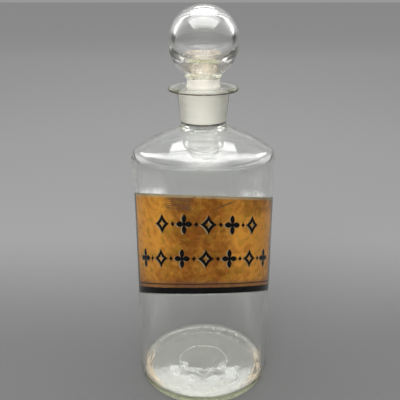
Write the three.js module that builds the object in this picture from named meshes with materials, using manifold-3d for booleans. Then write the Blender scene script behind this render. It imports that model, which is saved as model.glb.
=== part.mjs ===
import * as THREE from 'three';
import { mergeVertices } from 'three/addons/utils/BufferGeometryUtils.js';
import Module from 'manifold-3d';

// Clear glass shop bottle with a hollow ball stopper and a curved glass label let into its wall.
// Millimetres, +Z up. The bottle's axis is Z, it stands on z = 0, and its label faces -Y.

// Body
const BODY_RADIUS = 48;
const STRAIGHT_WALL_TOP = 168;
const WALL_BEHIND_LABEL = 1.1;
const INSIDE_CORNER_RADIUS = 2.8;
const SHOULDER_OUTER_SLOPE = 31.5;
const SHOULDER_INNER_SLOPE = 20.7;

// Base
const HEEL_RADIUS = 4.5;
const BEARING_WIDTH = 4.5;
const PUSH_UP = 1.6;
const PONTIL_RADIUS = 18.5;
const PONTIL_DEPTH = 0.9;
const BASE_THICKNESS = 2.8;
const FLOOR_CORNER_RADIUS = 2.2;

// Neck and lip
const NECK_LENGTH = 24.3;
const NECK_FOOT_WALL = 5.3;
const NECK_TOP_WALL = 6.3;
const NECK_FILLET = 2.5;
const THROAT_FLARE = 5;
const LIP_THICKNESS = 2.8;
const LIP_OVERHANG = 5.9;

// Stopper, with its rises measured up from the lip's top face
const PLUG_RADIUS = 10.5;
const PLUG_TAPER = 0.05;
const PLUG_DEPTH = 22.8;
const PLUG_WALL = 3.8;
const PLUG_END_ROUND = 0.8;
const SEAT_CLEARANCE = 0.3;
const SEAT_OVERRUN = 1.2;
const COLLAR_RISE = 6.2;
const COLLAR_OVERHANG = 1.4;
const COLLAR_THICKNESS = 2.8;
const COLLAR_HALF_ARC = 60;
const BALL_FOOT_RADIUS = 11.2;
const BALL_FOOT_RISE = 1.4;
const BALL_RADIUS = 22.5;
const BALL_WALL = 4;

// Label, a curved sandwich between two sloping cuts
const LABEL_BELOW_WALL_TOP = 11.7;
const LABEL_HEIGHT = 66.8;
const LABEL_LEFT_ANGLE = 70;
const LABEL_RIGHT_ANGLE = 75;
const TOP_EDGE_DROOP = 0.362;
const TOP_EDGE_TILT = -0.035;
const BOTTOM_EDGE_DROOP = 0.512;
const BOTTOM_EDGE_TILT = 0.018;
const LABEL_GLASS_THICKNESS = 1.1;
const ENAMEL_THICKNESS = 0.15;
const LEAF_THICKNESS = 0.15;
const CEMENT_THICKNESS = 0.3;
const LAYER_GAP = 0.1;
const RECESS_CLEARANCE = 0.3;

// Painted border and ornament
const BAND_HEIGHT = 4.6;
const SIDE_LINE_WIDTH = 1.1;
const RULE_RISE = 2.2;
const RULE_WIDTH = 0.7;
const LEAF_MARGIN = 0.4;
const UPPER_ROW_RISE = 48.2;
const LOWER_ROW_RISE = 25;
const MOTIF_HEIGHT = 13.2;
const MOTIF_WIDTH = 10.4;
const UPPER_ROW_COUNT = 5;
const LOWER_ROW_COUNT = 7;
const MOTIF_PITCH = 18.5;
const UPPER_ROW_MIDDLE = 4;
const LOWER_ROW_MIDDLE = 2;
const BEAD_WIDTH = 3;
const BEAD_HEIGHT = 4.4;
const LOZENGE_WAIST = 0.3;
const LOZENGE_OPENING = 0.42;
const PETAL_PINCH = 0.1;
const PETAL_SHOULDER = 0.62;
const PETAL_WIDTH = 0.5;

// How finely round surfaces are divided, and how close two corners are to be one
const BOTTLE_STEPS = 72;
const STOPPER_STEPS = 40;
const LABEL_STEP = 360 / BOTTLE_STEPS;
const SHORT_CURVE_STEPS = 2;
const CURVE_STEPS = 3;
const LONG_CURVE_STEPS = 4;
const BALL_STEPS = 10;
const SAME_CORNER = 1e-4;

// Colours
const CLEAR_GLASS = { color: 0xdde3df, roughness: 0.06, metalness: 0, transparent: true, opacity: 0.35 };
const GOLD_LEAF = { color: 0xb07a2c, roughness: 0.45, metalness: 0.6 };
const BLACK_ENAMEL = { color: 0x17120e, roughness: 0.3, metalness: 0 };
const CEMENT = { color: 0x8a7656, roughness: 0.9, metalness: 0 };

const wasm = await Module();
wasm.setup();

const radians = THREE.MathUtils.degToRad;
const point = (radius, height) => new THREE.Vector2(radius, height);

// Points along an arc of a profile, from one angle to another in degrees
function arc(centre, radius, from, to, steps) {
  const clockwise = to < from;
  const curve = new THREE.EllipseCurve(
    centre.x, centre.y, radius, radius, radians(from), radians(to), clockwise
  );
  return curve.getPoints(steps);
}

// Points along a curve that leaves the start and reaches the end along the two tangents' meeting point
function bend(start, corner, end, steps) {
  return new THREE.QuadraticBezierCurve(start, corner, end).getPoints(steps);
}

// Where two lines that fall outwards at the given slopes meet
function meeting(first, firstSlope, second, secondSlope) {
  const a = Math.tan(radians(firstSlope));
  const b = Math.tan(radians(secondSlope));
  const radius = (second.y - first.y + b * second.x - a * first.x) / (b - a);
  return point(radius, first.y + a * (first.x - radius));
}

// Closed solid from a geometry, with its shared corners merged and its pole slivers dropped
function solid(geometry) {
  const bare = geometry.clone();
  bare.deleteAttribute('normal');
  bare.deleteAttribute('uv');
  const merged = mergeVertices(bare, SAME_CORNER);
  const corners = merged.index.array;
  const kept = [];
  for (let i = 0; i < corners.length; i += 3) {
    const [a, b, c] = corners.slice(i, i + 3);
    if (a !== b && b !== c && c !== a) {
      kept.push(a, b, c);
    }
  }
  return new wasm.Manifold(new wasm.Mesh({
    numProp: 3,
    vertProperties: merged.attributes.position.array,
    triVerts: new Uint32Array(kept),
  }));
}

// Named mesh of a solid, in one material
function piece(name, body, finish) {
  const mesh = body.getMesh();
  const geometry = new THREE.BufferGeometry();
  geometry.setAttribute('position', new THREE.BufferAttribute(new Float32Array(mesh.vertProperties), 3));
  geometry.setIndex(new THREE.BufferAttribute(new Uint32Array(mesh.triVerts), 1));
  geometry.computeVertexNormals();
  const named = new THREE.Mesh(geometry, new THREE.MeshStandardMaterial(finish));
  named.name = name;
  return named;
}

// Solid turned about Z from a profile of radii and heights that starts and ends on the axis
function turned(profile, steps) {
  const geometry = new THREE.LatheGeometry(profile, steps);
  geometry.rotateX(Math.PI / 2);
  return solid(geometry);
}

// Radii of the label's layers, from the outside inwards, down to the floor of its recess
const labelGlassInner = BODY_RADIUS - LABEL_GLASS_THICKNESS;
const enamelOuter = labelGlassInner - LAYER_GAP;
const enamelInner = enamelOuter - ENAMEL_THICKNESS;
const leafOuter = enamelInner - LAYER_GAP;
const leafInner = leafOuter - LEAF_THICKNESS;
const cementOuter = leafInner - LAYER_GAP;
const cementInner = cementOuter - CEMENT_THICKNESS;
const recessRadius = cementInner - LAYER_GAP;
const innerRadius = recessRadius - WALL_BEHIND_LABEL;
const wall = BODY_RADIUS - innerRadius;
const cornerRadius = INSIDE_CORNER_RADIUS + wall;
const cornerCentre = point(BODY_RADIUS - cornerRadius, STRAIGHT_WALL_TOP);

// The ground plug and its seat, a slow taper measured down from the lip's top face
const plugRadiusAt = (depth) => PLUG_RADIUS - PLUG_TAPER * depth;
const seatRadiusAt = (depth) => plugRadiusAt(depth) + SEAT_CLEARANCE;
const seatDepth = PLUG_DEPTH + SEAT_OVERRUN;

// The shoulder runs from the body's rounded corner up to the fillet at the neck's foot
const neckFootRadius = seatRadiusAt(NECK_LENGTH) + NECK_FOOT_WALL;
const shoulderStart = arc(cornerCentre, cornerRadius, 0, 90 - SHOULDER_OUTER_SLOPE, 1).pop();
const shoulderEndRadius = neckFootRadius + NECK_FILLET * (1 - Math.sin(radians(SHOULDER_INNER_SLOPE)));
const shoulderMeanSlope = (SHOULDER_OUTER_SLOPE + SHOULDER_INNER_SLOPE) / 2;
const shoulderEnd = point(
  shoulderEndRadius,
  shoulderStart.y + (shoulderStart.x - shoulderEndRadius) * Math.tan(radians(shoulderMeanSlope))
);
const neckFoot = shoulderEnd.y + NECK_FILLET * Math.cos(radians(SHOULDER_INNER_SLOPE));
const lipTop = neckFoot + NECK_LENGTH;
const neckTopRadius = seatRadiusAt(LIP_THICKNESS) + NECK_TOP_WALL;

// A point of the shoulder moved square to its slope, into the glass by the wall's thickness
function inward(start, slope) {
  return point(start.x - wall * Math.sin(radians(slope)), start.y - wall * Math.cos(radians(slope)));
}

// Underside: a shallow push-up with a round pontil mark, then the flat ring that the bottle stands on
function undersideProfile() {
  const bearingOuter = BODY_RADIUS - HEEL_RADIUS;
  return [
    point(0, PUSH_UP + PONTIL_DEPTH),
    point(PONTIL_RADIUS - PONTIL_DEPTH, PUSH_UP + PONTIL_DEPTH),
    point(PONTIL_RADIUS, PUSH_UP),
    ...bend(
      point(PONTIL_RADIUS + PONTIL_DEPTH, PUSH_UP),
      point((PONTIL_RADIUS + bearingOuter - BEARING_WIDTH) / 2, PUSH_UP),
      point(bearingOuter - BEARING_WIDTH, 0),
      SHORT_CURVE_STEPS
    ),
  ];
}

// Outside, from the heel up the wall, over the shoulder and up the neck to the lip
function outsideProfile() {
  const lipEdge = LIP_THICKNESS / 2;
  return [
    ...arc(point(BODY_RADIUS - HEEL_RADIUS, HEEL_RADIUS), HEEL_RADIUS, -90, 0, LONG_CURVE_STEPS),
    ...arc(cornerCentre, cornerRadius, 0, 90 - SHOULDER_OUTER_SLOPE, CURVE_STEPS),
    ...bend(
      shoulderStart,
      meeting(shoulderStart, SHOULDER_OUTER_SLOPE, shoulderEnd, SHOULDER_INNER_SLOPE),
      shoulderEnd,
      LONG_CURVE_STEPS
    ),
    ...arc(
      point(neckFootRadius + NECK_FILLET, neckFoot),
      NECK_FILLET, 270 - SHOULDER_INNER_SLOPE, 180, SHORT_CURVE_STEPS
    ),
    point(neckTopRadius, lipTop - LIP_THICKNESS),
    ...arc(
      point(neckTopRadius + LIP_OVERHANG - lipEdge, lipTop - lipEdge),
      lipEdge, -90, 90, LONG_CURVE_STEPS
    ),
  ];
}

// Inside, from the mouth down the ground seat, under the shoulder and down the wall to the floor
function insideProfile() {
  const seatEnd = point(seatRadiusAt(seatDepth), lipTop - seatDepth);
  const roofInner = inward(shoulderEnd, SHOULDER_INNER_SLOPE);
  const roofOuter = inward(shoulderStart, SHOULDER_OUTER_SLOPE);
  const roofAt = (radius) => point(
    radius, roofInner.y - (radius - roofInner.x) * Math.tan(radians(SHOULDER_INNER_SLOPE))
  );
  const roofStart = roofAt(seatEnd.x + THROAT_FLARE);
  const floorEdge = PUSH_UP + BASE_THICKNESS;
  return [
    point(seatRadiusAt(0), lipTop),
    ...bend(seatEnd, roofAt(seatEnd.x), roofStart, SHORT_CURVE_STEPS),
    ...bend(
      roofStart,
      meeting(roofOuter, SHOULDER_OUTER_SLOPE, roofStart, SHOULDER_INNER_SLOPE),
      roofOuter,
      CURVE_STEPS
    ),
    ...arc(
      cornerCentre, INSIDE_CORNER_RADIUS, 90 - SHOULDER_OUTER_SLOPE, 0, SHORT_CURVE_STEPS
    ).slice(1),
    ...arc(
      point(innerRadius - FLOOR_CORNER_RADIUS, floorEdge + FLOOR_CORNER_RADIUS),
      FLOOR_CORNER_RADIUS, 0, -90, CURVE_STEPS
    ),
    point(PONTIL_RADIUS, floorEdge + PONTIL_DEPTH),
    point(0, floorEdge + PONTIL_DEPTH),
  ];
}

// Stopper, one blown piece that is hollow from the ball down to the plug's open end
function stopperProfile() {
  const endRadius = plugRadiusAt(PLUG_DEPTH);
  const boreRadius = endRadius - PLUG_WALL;
  const beadRadius = COLLAR_THICKNESS / 2;
  const beadCentre = point(PLUG_RADIUS + COLLAR_OVERHANG - beadRadius, COLLAR_RISE);
  const ballFoot = COLLAR_RISE + BALL_FOOT_RISE;
  const ballCentre = ballFoot + Math.sqrt(BALL_RADIUS ** 2 - BALL_FOOT_RADIUS ** 2);
  const cavityRadius = BALL_RADIUS - BALL_WALL;
  const outerFootAngle = THREE.MathUtils.radToDeg(Math.acos(BALL_FOOT_RADIUS / BALL_RADIUS));
  const innerFootAngle = THREE.MathUtils.radToDeg(Math.acos(boreRadius / cavityRadius));
  return [
    ...arc(point(0, ballCentre), cavityRadius, 90, -innerFootAngle, BALL_STEPS),
    point(boreRadius, -PLUG_DEPTH),
    point(endRadius - PLUG_END_ROUND, -PLUG_DEPTH),
    point(plugRadiusAt(PLUG_DEPTH - PLUG_END_ROUND), PLUG_END_ROUND - PLUG_DEPTH),
    point(PLUG_RADIUS, 0),
    point(PLUG_RADIUS, COLLAR_RISE - beadRadius),
    ...arc(beadCentre, beadRadius, -COLLAR_HALF_ARC, COLLAR_HALF_ARC, CURVE_STEPS),
    ...arc(point(0, ballCentre), BALL_RADIUS, -outerFootAngle, 90, BALL_STEPS),
  ];
}

// A plane across the bottle, given by its height at the label's front, its fall towards the back
// and its rise towards +X, each in millimetres a millimetre
function plane(height, droop, tilt) {
  return (x, y) => height - droop * (y + BODY_RADIUS) + tilt * x;
}

// The label's own level lines: they change slope evenly from its bottom edge to its top edge
const labelBottom = STRAIGHT_WALL_TOP - LABEL_BELOW_WALL_TOP - LABEL_HEIGHT;
function level(rise) {
  const share = rise / LABEL_HEIGHT;
  return plane(
    labelBottom + rise,
    THREE.MathUtils.lerp(BOTTOM_EDGE_DROOP, TOP_EDGE_DROOP, share),
    THREE.MathUtils.lerp(BOTTOM_EDGE_TILT, TOP_EDGE_TILT, share)
  );
}

// Block with its lower and upper faces in two planes, wide enough to cross the whole bottle
function slab(lower, upper) {
  const across = 3 * BODY_RADIUS;
  const block = new THREE.BoxGeometry(across, across, 1);
  const corners = block.attributes.position;
  for (let i = 0; i < corners.count; i += 1) {
    const face = corners.getZ(i) > 0 ? upper : lower;
    corners.setZ(i, face(corners.getX(i), corners.getY(i)));
  }
  return solid(block);
}

// Upright curved shell between two radii and two angles, counted from the front towards +X
function shell(inner, outer, from, to) {
  const angles = [from];
  for (let turn = Math.floor(from / LABEL_STEP) + 1; turn * LABEL_STEP < to; turn += 1) {
    angles.push(turn * LABEL_STEP);
  }
  angles.push(to);
  const at = (radius) => (angle) => point(
    radius * Math.sin(radians(angle)), -radius * Math.cos(radians(angle))
  );
  const outline = new THREE.Shape([...angles.map(at(outer)), ...angles.reverse().map(at(inner))]);
  return solid(new THREE.ExtrudeGeometry(outline, { depth: STRAIGHT_WALL_TOP, bevelEnabled: false }));
}

// A layer of the label: a curved shell cut by two of the label's level lines
function layer(inner, outer, from, to, low, high) {
  return shell(inner, outer, from, to).intersect(slab(level(low), level(high)));
}

const labelLeft = -LABEL_LEFT_ANGLE;
const labelRight = LABEL_RIGHT_ANGLE;
const angleOf = (width) => THREE.MathUtils.radToDeg(width / BODY_RADIUS);

// The recess is cut a little larger than the label all round
function recess() {
  const margin = angleOf(RECESS_CLEARANCE);
  return layer(
    recessRadius, BODY_RADIUS + wall, labelLeft - margin, labelRight + margin,
    -RECESS_CLEARANCE, LABEL_HEIGHT + RECESS_CLEARANCE
  );
}

// Border: the broad band along the bottom with a thin line up each side, in one stroke of enamel
function border() {
  const line = angleOf(SIDE_LINE_WIDTH);
  const paint = (from, to, high) => layer(enamelInner, enamelOuter, from, to, 0, high);
  return paint(labelLeft, labelRight, BAND_HEIGHT)
    .add(paint(labelLeft, labelLeft + line, LABEL_HEIGHT))
    .add(paint(labelRight - line, labelRight, LABEL_HEIGHT));
}

// Fine rule just above the band, with bare gold on all its sides
function rule() {
  const inset = angleOf(2 * SIDE_LINE_WIDTH);
  const low = BAND_HEIGHT + RULE_RISE;
  return layer(enamelInner, enamelOuter, labelLeft + inset, labelRight - inset, low, low + RULE_WIDTH);
}

// Lozenge with hollow sides, with a like lozenge cut out of its middle where the opening isn't 0
function lozenge(width, height, opening) {
  const outline = (share) => {
    const [w, h] = [share * width / 2, share * height / 2];
    const tips = [point(w, 0), point(0, h), point(-w, 0), point(0, -h)];
    return tips.flatMap((tip, i) => {
      const next = tips[(i + 1) % tips.length];
      const waist = tip.clone().add(next).multiplyScalar(LOZENGE_WAIST);
      return bend(tip, waist, next, SHORT_CURVE_STEPS).slice(0, -1);
    });
  };
  const shape = new THREE.Shape(outline(1));
  if (opening > 0) {
    shape.holes.push(new THREE.Path(outline(opening)));
  }
  return shape;
}

// Four-petalled flower whose petals are pinched together at its middle
function flower(width, height) {
  const outline = [];
  for (let quarter = 0; quarter < 360; quarter += 90) {
    const place = (along, across) => point(along, across)
      .rotateAround(point(0, 0), radians(quarter))
      .multiply(point(width / 2, height / 2));
    const pinch = (hand) => place(PETAL_PINCH, hand * PETAL_PINCH);
    const shoulder = (hand) => place(PETAL_SHOULDER, hand * PETAL_WIDTH);
    const tip = place(1, 0);
    outline.push(
      ...bend(pinch(-1), shoulder(-1), tip, CURVE_STEPS).slice(0, -1),
      ...bend(tip, shoulder(1), pinch(1), CURVE_STEPS).slice(0, -1)
    );
  }
  return new THREE.Shape(outline);
}

// A flat motif wrapped round the label, its middle at an angle and a rise
// It is first made thicker than the enamel on both sides, then cut to the enamel's own curved layer
function painted(shape, angle, rise) {
  const spare = LABEL_GLASS_THICKNESS;
  const motif = new THREE.ExtrudeGeometry(
    shape, { depth: ENAMEL_THICKNESS + 2 * spare, bevelEnabled: false }
  );
  const corners = motif.attributes.position;
  for (let i = 0; i < corners.count; i += 1) {
    const turn = radians(angle) + corners.getX(i) / enamelOuter;
    const radius = enamelInner - spare + corners.getZ(i);
    const heightAt = level(rise + corners.getY(i));
    const height = heightAt(enamelOuter * Math.sin(turn), -enamelOuter * Math.cos(turn));
    corners.setXYZ(i, radius * Math.sin(turn), -radius * Math.cos(turn), height);
  }
  const reach = angleOf(MOTIF_WIDTH);
  return solid(motif).intersect(shell(enamelInner, enamelOuter, angle - reach, angle + reach));
}

// Row of motifs, lozenges and flowers in turn, with a small bead between each two
function ornament(row, count, middle, rise, flowerFirst) {
  const motifs = [];
  for (let i = 0; i < count; i += 1) {
    const angle = middle + (i - (count - 1) / 2) * MOTIF_PITCH;
    const blossom = (i % 2 === 0) === flowerFirst;
    const kind = blossom ? 'flower' : 'lozenge';
    const shape = blossom
      ? flower(MOTIF_WIDTH, MOTIF_HEIGHT)
      : lozenge(MOTIF_WIDTH, MOTIF_HEIGHT, LOZENGE_OPENING);
    motifs.push(piece(`${row}_${kind}_${i + 1}`, painted(shape, angle, rise), BLACK_ENAMEL));
    if (i > 0) {
      const bead = lozenge(BEAD_WIDTH, BEAD_HEIGHT, 0);
      motifs.push(piece(`${row}_bead_${i}`, painted(bead, angle - MOTIF_PITCH / 2, rise), BLACK_ENAMEL));
    }
  }
  return motifs;
}

// Bottle, turned in one piece with the label's recess cut into the front of its wall
const bottle = new THREE.Group();
const bottleProfile = [...undersideProfile(), ...outsideProfile(), ...insideProfile()];
bottle.add(piece('bottle_body', turned(bottleProfile, BOTTLE_STEPS).subtract(recess()), CLEAR_GLASS));

// Label, from its bed in the recess out to its curved cover glass
const leafInset = angleOf(LEAF_MARGIN);
const label = new THREE.Group();
label.add(
  piece('label_cement', layer(cementInner, cementOuter, labelLeft, labelRight, 0, LABEL_HEIGHT), CEMENT),
  piece('gold_leaf', layer(
    leafInner, leafOuter, labelLeft + leafInset, labelRight - leafInset,
    LEAF_MARGIN, LABEL_HEIGHT - LEAF_MARGIN
  ), GOLD_LEAF),
  piece('enamel_border', border(), BLACK_ENAMEL),
  piece('enamel_rule', rule(), BLACK_ENAMEL),
  ...ornament('upper', UPPER_ROW_COUNT, UPPER_ROW_MIDDLE, UPPER_ROW_RISE, false),
  ...ornament('lower', LOWER_ROW_COUNT, LOWER_ROW_MIDDLE, LOWER_ROW_RISE, true),
  piece('label_glass', layer(
    labelGlassInner, BODY_RADIUS, labelLeft, labelRight, 0, LABEL_HEIGHT
  ), CLEAR_GLASS)
);
bottle.add(label);

// Stopper, seated in the mouth
const stopper = new THREE.Group();
stopper.position.z = lipTop;
stopper.add(piece('stopper', turned(stopperProfile(), STOPPER_STEPS), CLEAR_GLASS));

const part = new THREE.Group();
part.add(bottle, stopper);
export default part;
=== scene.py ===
import math

import bpy
import numpy as np
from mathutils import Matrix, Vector


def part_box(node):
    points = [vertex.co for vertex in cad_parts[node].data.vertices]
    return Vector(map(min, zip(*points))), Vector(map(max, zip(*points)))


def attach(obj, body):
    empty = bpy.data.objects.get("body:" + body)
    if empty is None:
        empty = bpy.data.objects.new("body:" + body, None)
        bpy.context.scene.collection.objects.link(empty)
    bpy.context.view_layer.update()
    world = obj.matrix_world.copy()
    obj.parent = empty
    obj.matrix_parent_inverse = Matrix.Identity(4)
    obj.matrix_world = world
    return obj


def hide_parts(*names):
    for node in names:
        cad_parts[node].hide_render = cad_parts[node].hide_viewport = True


# Clear glass shop bottle with a hollow ball stopper and a curved glass label. Metres, +Z up.
# The bottle's axis is Z, it stands on z = 0, and its label faces -Y. Angles count from the front.
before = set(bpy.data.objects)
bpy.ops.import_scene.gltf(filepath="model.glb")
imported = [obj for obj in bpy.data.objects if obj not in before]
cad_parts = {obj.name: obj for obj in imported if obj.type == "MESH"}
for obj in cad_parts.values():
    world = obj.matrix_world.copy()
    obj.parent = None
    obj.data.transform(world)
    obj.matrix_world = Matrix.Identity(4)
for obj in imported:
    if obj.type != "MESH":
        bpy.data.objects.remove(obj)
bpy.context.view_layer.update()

body_low, body_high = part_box("bottle_body")
stopper_low, stopper_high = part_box("stopper")
BODY_RADIUS = body_high.x
LIP_TOP = body_high.z
PLUG_END = stopper_low.z
BALL_TOP = stopper_high.z
BALL_RADIUS = stopper_high.x

# Body
WALL = 0.0032
STRAIGHT_WALL_TOP = 0.168
INSIDE_CORNER_RADIUS = 0.0028
SHOULDER_OUTER_SLOPE = 31.5
SHOULDER_INNER_SLOPE = 20.7
WALL_WAVE = 0.00012
CORNER_LOW = STRAIGHT_WALL_TOP - 0.001
CORNER_HIGH = STRAIGHT_WALL_TOP + INSIDE_CORNER_RADIUS + WALL - 0.0002
# Heights of the painted highlight on the shoulder's front
SHOULDER_HIGHLIGHT_LOW = STRAIGHT_WALL_TOP + 0.003
SHOULDER_HIGHLIGHT_HIGH = 0.188

# Base
HEEL_RADIUS = 0.0045
BEARING_WIDTH = 0.0045
PUSH_UP = 0.0016
PONTIL_RADIUS = 0.0185
PONTIL_DEPTH = 0.0009
PONTIL_LUMPS = 9
PONTIL_SCALLOP = 0.0016
FLOOR_TROUGH = 0.00045
FLOOR_TROUGH_WIDTH = 0.0026
FLOOR_TROUGH_SWING = 0.5
FLOOR_TROUGH_UNEVENNESS = 0.2
FLOOR_RIPPLE = 0.00006
FLOOR_FRONT_FOCUS = 8
BASE_THICKNESS = 0.0028
FLOOR_CORNER_RADIUS = 0.0022

# Neck and lip
NECK_LENGTH = 0.0243
NECK_FOOT_WALL = 0.0053
NECK_TOP_WALL = 0.0063
NECK_FILLET = 0.0025
THROAT_FLARE = 0.005
LIP_THICKNESS = 0.0028
LIP_OVERHANG = 0.0059
LIP_FILLET = 0.0008
MOUTH_ROUND = 0.0004

# Stopper
PLUG_RADIUS = 0.0105
PLUG_TAPER = 0.05
PLUG_WALL = 0.0038
PLUG_END_ROUND = 0.0008
SEAT_CLEARANCE = 0.0003
SEAT_OVERRUN = 0.0012
SEAT_LINE = 0.0013
COLLAR_RISE = 0.0062
COLLAR_OVERHANG = 0.0014
COLLAR_THICKNESS = 0.0028
BALL_WALL = 0.004
HOLLOW_SINK = 0.20
FUNNEL_ANGLE = 50
BALL_THROAT = 0.006
BALL_LEAN = 0.0004
BALL_WAVE = 0.00015

# Label
LABEL_BOTTOM = 0.0895
LABEL_HEIGHT = 0.0668
LABEL_LEFT = -70
LABEL_RIGHT = 75
TOP_EDGE_DROOP = 0.362
TOP_EDGE_TILT = -0.035
BOTTOM_EDGE_DROOP = 0.512
BOTTOM_EDGE_TILT = 0.018
LABEL_GLASS_THICKNESS = 0.0011
ENAMEL_THICKNESS = 0.00015
LEAF_THICKNESS = 0.00015
CEMENT_THICKNESS = 0.0003
LAYER_GAP = 0.0001
LABEL_GLASS_INNER = BODY_RADIUS - LABEL_GLASS_THICKNESS
ENAMEL_OUTER = LABEL_GLASS_INNER - LAYER_GAP
ENAMEL_INNER = ENAMEL_OUTER - ENAMEL_THICKNESS
LEAF_OUTER = ENAMEL_INNER - LAYER_GAP
LEAF_INNER = LEAF_OUTER - LEAF_THICKNESS
CEMENT_OUTER = LEAF_INNER - LAYER_GAP
CEMENT_INNER = CEMENT_OUTER - CEMENT_THICKNESS
RECESS_RADIUS = CEMENT_INNER - LAYER_GAP
RECESS_CLEARANCE = 0.0003
RECESS_EDGE = 0.00002
LEAF_MARGIN = 0.0004
BAND_HEIGHT = 0.0046
BAND_WANDER = 0.00022
SIDE_LINE_WIDTH = 0.0011
RULE_RISE = 0.0022
RULE_WIDTH = 0.0007
RULE_WANDER = 0.00012

# Ornament
UPPER_ROW_RISE = 0.0482
LOWER_ROW_RISE = 0.025
MOTIF_HEIGHT = 0.0132
MOTIF_WIDTH = 0.0104
MOTIF_PITCH = 18.5
UPPER_ROW = ("upper", 5, 4, UPPER_ROW_RISE, False)
LOWER_ROW = ("lower", 7, 2, LOWER_ROW_RISE, True)
BEAD_WIDTH = 0.003
BEAD_HEIGHT = 0.0044
LOZENGE_WAIST = 0.3
LOZENGE_OPENING = 0.42
PETAL_PINCH = 0.1
PETAL_SHOULDER = 0.62
PETAL_WIDTH = 0.5
SHADE_OFFSET = (-0.0009, -0.0004)
SHADE_LIFT = 0.00003
SHADE_THICKNESS = 0.00004

# Camera, fitted to the photograph
CAMERA_DISTANCE = 0.34656
CAMERA_HEIGHT = 0.2655
CAMERA_PITCH = 20.55
CAMERA_LENS = 48.06
CAMERA_SHIFT = -3.3 / 400

# Glass and marks on it. The cover glass bends less, so that it mirrors less of the floor.
GLASS_BENDING = 1.51
COVER_BENDING = 1.35
GLASS_DEPTH_COLOUR = (0.80, 0.86, 0.58, 1)
CORD_DARKNESS = 0.985
FAN_PITCH = 40
ROUND_LINE_PITCH = 240
SCRATCH_RISE = 0.0555
SCRATCH_SLOPE = 0.42

# Colours, as pairs where a finish is mixed from two
BODY_TINT = (0.985, 0.992, 0.986, 1)
BALL_TINT = (0.99, 0.992, 0.986, 1)
COVER_TINT = (0.985, 0.992, 0.982, 1)
HAZE_GREY = (0.86, 0.86, 0.84, 1)
GROUND_TINT = (0.97, 0.965, 0.94, 1)
GROUND_POWDER = ((0.96, 0.92, 0.83, 1), (0.99, 0.97, 0.92, 1))
BORE_TINTS = ((0.99, 0.985, 0.96, 1), (0.96, 0.93, 0.86, 1))
PALE_DUST = ((0.93, 0.91, 0.85, 1), (0.88, 0.84, 0.77, 1))
BEIGE_DUST = ((0.84, 0.72, 0.54, 1), (0.74, 0.58, 0.38, 1))
BASE_TINTS = ((0.99, 0.99, 0.97, 1), (0.96, 0.95, 0.90, 1))
BASE_DUST = ((0.86, 0.86, 0.82, 1), (0.72, 0.60, 0.45, 1))
HEEL_TINTS = ((0.98, 0.99, 0.93, 1), (0.92, 0.94, 0.80, 1))
HEEL_SCUFF_GLOW_COLOURS = ((0.97, 0.99, 0.80, 1), (0.94, 0.92, 0.78, 1))
SHADE_LINE_TINTS = ((0.96, 0.94, 0.90, 1), (0.88, 0.84, 0.76, 1))
SHADE_LINE_DARKS = ((0.05, 0.035, 0.022, 1), (0.16, 0.12, 0.08, 1))
BONDED_TINTS = ((0.99, 0.99, 0.98, 1), (0.90, 0.88, 0.82, 1))
ENAMEL_BLACKS = ((0.001, 0.0008, 0.0007, 1), (0.005, 0.003, 0.002, 1))
THIN_BLACKS = ((0.030, 0.012, 0.006, 1), (0.10, 0.035, 0.012, 1))
SHADING = ((0.30, 0.26, 0.16, 1), (0.42, 0.22, 0.07, 1))
CEMENT_BROWNS = ((0.52, 0.44, 0.31, 1), (0.36, 0.28, 0.18, 1))
LEAF_GOLD = (0.78, 0.36, 0.050, 1)
LEAF_BROWN = (0.25, 0.085, 0.004, 1)
LEAF_OLIVE = (0.36, 0.20, 0.012, 1)
LEAF_COPPER = (0.42, 0.12, 0.012, 1)
LEAF_FLECK_AND_SHADE = (0.10, 0.04, 0.012, 1)
LEAF_WORN = (0.13, 0.07, 0.035, 1)
LEAF_EDGE = (0.55, 0.42, 0.27, 1)
LEAF_ROSY = (0.20, 0.10, 0.065, 1)

# Stage and light
FLOOR_SIZE = 120
FLOOR_FRONT = 0.163
FLOOR_BACK = 0.282
FLOOR_FAR = 0.5
FLOOR_BESIDE = 0.15
FLOOR_BACK_FROM = 0.25
FLOOR_FAR_START = 0.2
FLOOR_FAR_FROM = 2.5
WEDGE_POINT = 0.447
WEDGE_FRONT = -0.2
WEDGE_EDGE = 0.36
WEDGE_FADED = 1.1
BOUNCES = 40

# Lamps: place, aim, size, power
OVERHEAD_LAMP = ((0, 0.2, 1.3), (0, 0, -1), (2.0, 1.1), 14.5)
FRONT_LAMP = ((-0.25, -1.3, 0.9), (0.2, 1.0, -0.6), (1.4, 1.0), 20)

# What the glass mirrors. A panel is: half width, near edge, far edge, softness, level.
AMBIENT = 0.5
ROOM = 0.32
ROOM_IN_FRONT = 0.10
ROOM_HIGHER = 0.13
ROOM_ASIDE = 0.15
PANEL = 8
DOME = 0.3
WINDOW = 1.4
SWEEP = 1.18
MIDDLE_PANEL = (0.50, 0.25, 0.60, 0.02, 0.6)
WING_PANEL = (1.3, 0.22, 0.35, 0.02, 0.5)
FRONT_PANEL = (0.8, -0.75, 0.14, 0.04, 0.6)
REAR_PANEL = (0.34, 0.90, 1.21, 0.02, 0.9)
# The dark bar in the middle panel: near edge, far edge, softness, darkness
BAR = (0.36, 0.395, 0.005, 0.9)

# How finely the pieces are divided, and which rings have which finish
SHARP_EDGE = 35
BODY_COLUMNS = 180
STOPPER_COLUMNS = 128
FLOOR_RINGS = 43
HEEL_RINGS = 13
SCUFFED_RINGS = 9
RUBBED_RINGS = 9
RINGS_BELOW_LIP_EDGE = 50
LIP_EDGE_RINGS = 5
BOWL_RINGS = 44
WAVY_RINGS = 50
LAYER_CELLS = (72, 34)
RULE_CELLS = (90, 2)
BAND_ROWS = 4
SIDE_LINE_COLUMNS = 2

# Unevenness of blown glass and painted edges
WAVE_TURNS = 6
WAVE_CLIMB = 160
WALL_SEED = 3
BALL_SEED = 5
TROUGH_SEED = 8
RIPPLE_SEED = 9
BAND_SEED = 11
RULE_SEED = 12


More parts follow.
